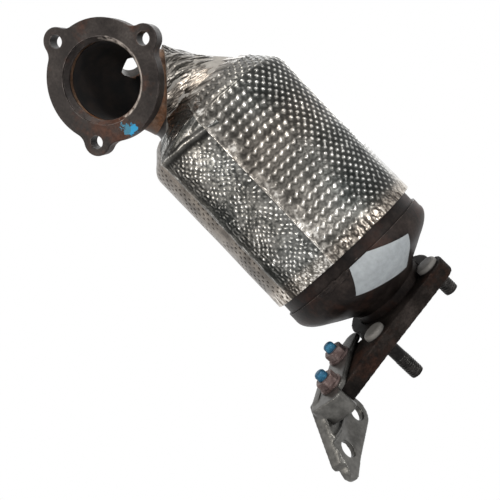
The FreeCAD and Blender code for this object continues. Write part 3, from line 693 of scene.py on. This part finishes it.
def softened(node, name, voxel_mm, rounds, shape=None):
    """A copy of a solid with rounded edges, as a casting has. shape may then move its points."""
    source = NODES[node]
    copy = bpy.data.objects.new(name + "_source", source.data.copy())
    bpy.context.scene.collection.objects.link(copy)
    remesh = copy.modifiers.new("remesh", "REMESH")
    remesh.mode = "VOXEL"
    remesh.voxel_size = voxel_mm * MM
    relax = copy.modifiers.new("smooth", "SMOOTH")
    relax.factor = 0.5
    relax.iterations = rounds
    depsgraph = bpy.context.evaluated_depsgraph_get()
    mesh = bpy.data.meshes.new_from_object(copy.evaluated_get(depsgraph))
    bpy.data.objects.remove(copy)
    mesh.name = name
    mesh.polygons.foreach_set("use_smooth", [True] * len(mesh.polygons))
    if shape:
        points = np.empty(len(mesh.vertices) * 3)
        mesh.vertices.foreach_get("co", points)
        normals = np.array([v.normal for v in mesh.vertices])
        points = shape(points.reshape(-1, 3), normals)
        mesh.vertices.foreach_set("co", points.ravel())
        mesh.update()
    obj = bpy.data.objects.new(name, mesh)
    bpy.context.scene.collection.objects.link(obj)
    mesh.materials.clear()
    mesh.materials.append(source.data.materials[0])
    if shape:
        settle = obj.modifiers.new("settle", "SMOOTH")
        settle.factor = 0.5
        settle.iterations = 10
    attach(obj, "root")
    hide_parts(node)
    return obj


def thread_sleeve(name, place, radius, start, end, pitch, material):
    """A thread along -Z of the plate's frame: a thin grooved sleeve over the plain stud."""
    rows = int((start - end) / pitch * 8)
    columns = 36
    z = np.linspace(start, end, rows)
    turn = np.linspace(0, 2 * math.pi, columns, endpoint=False)
    Z, A = np.meshgrid(z, turn, indexing="ij")
    phase = (Z / pitch + A / (2 * math.pi)) % 1.0
    depth = 1 - np.abs(2 * phase - 1)
    fade = smooth(start - Z, 0, pitch) * smooth(Z - end, 0, pitch)
    matrix = np.array(plate_matrix())
    grids = []
    for r in (radius + 0.03 + THREAD_DEPTH * depth * fade, np.full_like(Z, radius - THREAD_SKIN)):
        local = np.stack([place[0] + r * np.cos(A), place[1] + r * np.sin(A), Z], -1)
        grids.append(local @ matrix[:3, :3].T + matrix[:3, 3] / MM)
    obj = sheet_object(name, grids[0], grids[1], {}, closed=True)
    obj.data.materials.append(material)
    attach(obj, "root")


# Surface detail

# The studs' heads turn grey between two heights above the plate
HEAD_START = 0.3
HEAD_FULL = 1.2
HEAD_GREY = (0.17, 0.16, 0.145)
# Blue marks on the flange: place, reach and raggedness in millimetres, stretch, colour
DABS = (((-7.0, 0, -37.2), 3.5, 2.4, (0.8, 0.5, 1.1), (0.03, 0.24, 0.42)),
        ((-10.5, 0, -33.5), 3.2, 3.0, (1, 0.5, 1), (0.05, 0.17, 0.24)))


def finish_materials():
    """Heads, painted marks and a painted highlight on the ring round the bore, laid over the plain materials.
    """
    up = np.array(plate_matrix())[:3, 2]
    face = PIVOT + np.array([0, math.sin(OUTLET_TILT), -math.cos(OUTLET_TILT)]) * OUTLET_REACH
    low, high = PLATE_T + HEAD_START, PLATE_T + HEAD_FULL
    add_paint(STUD, lambda tree: past_plane(tree, face, up, low, high), HEAD_GREY)
    # A painted highlight in light buff on the bore's chamfer.
    add_paint(RUST_FLANGE, painted_chamfer_glint, (0.62, 0.54, 0.47))
    for place, reach, ragged, stretch, color in DABS:
        add_paint(RUST_FLANGE, lambda tree: near_point(tree, place, reach, ragged, stretch), color)


def painted_chamfer_glint(tree):
    """A painted highlight on the chamfer round the bore, on its lower right, broken up by noise."""
    reach = vector_math(tree, "LENGTH", vector_math(tree, "MULTIPLY", object_coords(tree), (1, 0, 1)))
    inner = map_range(tree, reach, 26.1 * MM, 26.9 * MM)
    outer = map_range(tree, reach, 29.6 * MM, 28.6 * MM)
    ring = mix_node(tree, 1.0, inner, outer, "MULTIPLY")
    spot = mix_node(tree, 1.0, ring, near_point(tree, (22.0, 0, -12.0), 32.0, 8.0), "MULTIPLY")
    stops = ((0.4, (0.15, 0.15, 0.15)), (0.62, (0.85, 0.85, 0.85)))
    glint_breakup = ramp_node(tree, noise_node(tree, 150.0, 5.0), stops)
    return mix_node(tree, 1.0, spot, glint_breakup, "MULTIPLY")


def bracket_form(points, normals):
    """Presses the dish and the S-shaped rib into the near face of the bracket's foot."""
    matrix = np.array(plate_matrix())
    local = (points / MM - matrix[:3, 3] / MM) @ matrix[:3, :3]
    turned = normals @ matrix[:3, :3]
    x, y = local[:, 0] - ARM_PLACE[0], local[:, 1] - ARM_PLACE[1]
    half = math.sqrt(0.5)
    along, away, up = -half * (x + y), half * (y - x), local[:, 2]
    facing = smooth(-half * (turned[:, 1] - turned[:, 0]), 0.0, 0.9)
    facing = facing * smooth(away, 6, 10) * smooth(-away, -14.5, -11.5)
    rib = np.interp(along, (18, 33, 45, 60, 66, 74), (2, -7, -6.5, -2.6, -14.5, -24))
    beyond = up - rib
    raised = smooth(beyond, -1.2, 1.2) * smooth(along, 20, 32)
    crest = np.exp(-((beyond - 0.8) / 1.4) ** 2) * smooth(along, 24, 34)
    dish = np.exp(-(((along - 30) / 9) ** 2 + ((up - 3) / 6.5) ** 2))
    hollow = np.exp(-(((along - 40) / 10) ** 2 + ((up + 16) / 6) ** 2))
    push = facing * (1.9 * raised + 1.6 * crest - 3.2 * dish - 2.0 * hollow)
    out = matrix[:3, :3] @ np.array([half, -half, 0])
    return points + push[:, None] * out * MM


def bead(name, angles, place_z, radius, size, seed, material):
    """A lumpy weld bead round the can's axis between two angles."""
    turn = np.radians(np.linspace(angles[0], angles[1], 160))
    around = np.linspace(-math.pi / 2, math.pi / 2, 12)
    T, W = np.meshgrid(turn, around, indexing="ij")
    noise = Noise(seed)
    ends = smooth(T - turn[0], 0, 0.06) * smooth(turn[-1] - T, 0, 0.06)
    thick = size * (0.75 + 0.35 * noise.layers(T * 14, W, 2)) * ends
    grids = []
    for share in (1.0, 0.0):
        R = radius + thick * np.cos(W) * share
        Z = place_z + 1.5 * thick * np.sin(W) + 0.5 * noise.at(T * 6, W * 0)
        grids.append(np.stack([CAN_X + R * np.cos(T), CAN_Y + R * np.sin(T), Z], -1))
    obj = sheet_object(name, grids[0], grids[1], {})
    obj.data.materials.append(material)
    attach(obj, "root")


def dark_bore():
    """A near-black lining of painted shade inside the elbow, which keeps the rusty look to its outside."""
    stations = np.linspace(0.0, SHADE_LINING_END, 50)
    angles = np.linspace(0, 2 * math.pi, 120, endpoint=False)
    centre, out, radius = inlet_grid(stations, angles)
    noise = Noise(31)
    T, A = np.meshgrid(stations, angles, indexing="ij")
    wobble = 0.15 * noise.layers(np.cos(A) * 5 + T * 30, np.sin(A) * 5, 2)
    grids = [centre + out * (radius - SHADE_LINING_DEPTH - depth + wobble[..., None]) for depth in (0.0, SHADE_LINING_T)]
    obj = sheet_object("shade_lining", grids[0], grids[1], {}, closed=True)
    start, lean = path_point([BOSS_STATION])[0], BOSS_LEAN / np.linalg.norm(BOSS_LEAN)
    drop_near_axis(obj, start, lean, BOSS_BORE_R + 0.3)
    # The lining's material is painted shade, near black.
    material, tree, shader = new_material("painted_shade", 0.0, 0.75)
    stops = ((0.4, (0.003, 0.0025, 0.0025)), (0.7, (0.02, 0.013, 0.01)))
    shade = ramp_node(tree, noise_node(tree, 90.0, 5.0), stops)
    tree.links.new(shade, shader.inputs["Base Color"])
    obj.data.materials.append(material)
    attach(obj, "root")


# Stage

CAMERA_PLACE = Vector((172.9, -475.0, -158.4)) * MM
CAMERA_RIGHT = Vector((0.6746, 0.2672, -0.6882))
CAMERA_UP = Vector((0.6487, 0.2304, 0.7253))
CAMERA_LENS = 55.08
LAMP_AIM = Vector((24, 60, -130)) * MM
# In metres
FLOOR_REACH = 30.0
FLOOR_Z = -0.75


def build_camera():
    bpy.context.scene.view_settings.view_transform = "Standard"
    data = bpy.data.cameras.new("camera")
    data.lens = CAMERA_LENS
    data.sensor_width = 36.0
    data.clip_end = 20.0
    camera = bpy.data.objects.new("camera", data)
    bpy.context.scene.collection.objects.link(camera)
    right = CAMERA_RIGHT.normalized()
    back = right.cross(CAMERA_UP).normalized()
    up = back.cross(right)
    camera.matrix_world = Matrix.Translation(CAMERA_PLACE) @ Matrix((right, up, back)).transposed().to_4x4()
    bpy.context.scene.camera = camera


def area_lamp(name, place, target, size, power, color=(1, 1, 1)):
    data = bpy.data.lights.new(name, "AREA")
    data.shape = "RECTANGLE"
    data.size, data.size_y = size
    data.energy = power
    data.color = color
    lamp = bpy.data.objects.new(name, data)
    bpy.context.scene.collection.objects.link(lamp)
    lamp.location = place
    lamp.rotation_euler = (Vector(target) - Vector(place)).to_track_quat("-Z", "Y").to_euler()


def seen_white(tree, shader_output, output_input, color):
    """Camera, mirror and glass rays see plain white; the other rays get the shader."""
    path = tree.nodes.new("ShaderNodeLightPath")
    white = tree.nodes.new("ShaderNodeEmission" if color is None else "ShaderNodeBackground")
    white.inputs["Color"].default_value = (1, 1, 1, 1)
    seen = path.outputs["Is Camera Ray"]
    for ray in ("Is Glossy Ray", "Is Transmission Ray"):
        larger = tree.nodes.new("ShaderNodeMath")
        larger.operation = "MAXIMUM"
        tree.links.new(seen, larger.inputs[0])
        tree.links.new(path.outputs[ray], larger.inputs[1])
        seen = larger.outputs[0]
    mix = tree.nodes.new("ShaderNodeMixShader")
    tree.links.new(seen, mix.inputs["Fac"])
    tree.links.new(shader_output, mix.inputs[1])
    tree.links.new(white.outputs[0], mix.inputs[2])
    tree.links.new(mix.outputs[0], output_input)


def build_world():
    world = bpy.data.worlds.new("studio")
    bpy.context.scene.world = world
    world.use_nodes = True
    tree = world.node_tree
    soft = tree.nodes["Background"]
    soft.inputs["Color"].default_value = (0.9, 0.93, 1.0, 1)
    soft.inputs["Strength"].default_value = 0.5
    seen_white(tree, soft.outputs[0], tree.nodes["World Output"].inputs["Surface"], (1, 1, 1))


def build_floor():
    reach, z = FLOOR_REACH, FLOOR_Z
    points = np.array([[-reach, -reach, z], [reach, -reach, z], [reach, reach, z], [-reach, reach, z]]) / MM
    floor = mesh_object("floor", points, [(0, 1, 2, 3)])
    material, tree, shader = new_material("floor", 0.0, 0.9)
    shader.inputs["Base Color"].default_value = (0.9, 0.9, 0.9, 1)
    seen_white(tree, shader.outputs[0], tree.nodes["Material Output"].inputs["Surface"], None)
    floor.data.materials.append(material)


def build_lamps():
    back = CAMERA_RIGHT.cross(CAMERA_UP)
    for name, right, up, toward, size, power, color in (
            ("key", -0.35, 0.95, 0.5, (0.7, 0.3), 10.0, (1.0, 0.98, 0.95)),
            ("fill", -0.95, -0.2, 0.6, (0.3, 0.7), 4.0, (1.0, 0.96, 0.9)),
            ("window", 0.55, 0.45, 0.9, (0.12, 0.12), 3.0, (1.0, 1.0, 1.0)),
            ("spark", 0.05, 0.1, 1.1, (0.08, 0.08), 2.0, (1.0, 1.0, 1.0)),
            ("rim", 1.0, -0.35, 0.2, (0.15, 0.6), 3.0, (0.95, 0.98, 1.0)),
            ("behind", 0.1, 0.6, -1.0, (0.8, 0.8), 4.5, (1.0, 1.0, 1.0))):
        place = LAMP_AIM + CAMERA_RIGHT * right + CAMERA_UP * up + back * toward
        area_lamp(name, place, LAMP_AIM, size, power, color)


SIMPLE = {
    "inlet_flange": RUST_FLANGE, "inlet_elbow": RUST_PIPE, "sensor_boss": SHELL, "inlet_cone": SHELL,
    "can_shell": OUTLET, "outlet_cone": OUTLET, "outlet_flange": PLATE, "support_bracket": CAST,
    "outlet_stud_near": STUD, "outlet_stud_far": STUD, "outlet_stud_rear": STUD,
    "bracket_stud_upper": TIPPED, "bracket_stud_lower": TIPPED, "bracket_nut_upper": NUT,
    "bracket_nut_lower": NUT, "substrate": BRICK, "support_mat": MAT, "mat_seal_upper": MESH_RING,
    "mat_seal_lower": MESH_RING, "can_mat": MAT, "inlet_mat": MAT, "label": PAPER,
    "shield_main": FOIL, "shield_lap_panel": FOIL, "shield_inlet_wrap": FOIL,
}
for node_name, node_material in SIMPLE.items():
    paint_node(node_name, node_material)
build_jacket()
build_wrap()
finish_materials()
dark_bore()
softened("support_bracket", "cast_bracket", 0.55, 10, bracket_form)
bead("weld_ridge", (-108.0, -81.0), -203.4, COLLAR_R - BEAD_SINK, 1.7, 51, OUTLET)
bead("weld_blob", (-75.0, -71.5), -200.8, COLLAR_R - BEAD_SINK, 1.6, 52, OUTLET)
for stud, (place, end) in STUDS.items():
    start = min(end + THREAD_LENGTH, -THREAD_GAP)
    thread_sleeve("thread_" + stud, place, STUD_R, start, end, THREAD_PITCH, THREAD)
softened("outlet_flange", "outlet_plate", 0.62, 7)
build_camera()
build_world()
build_floor()
build_lamps()
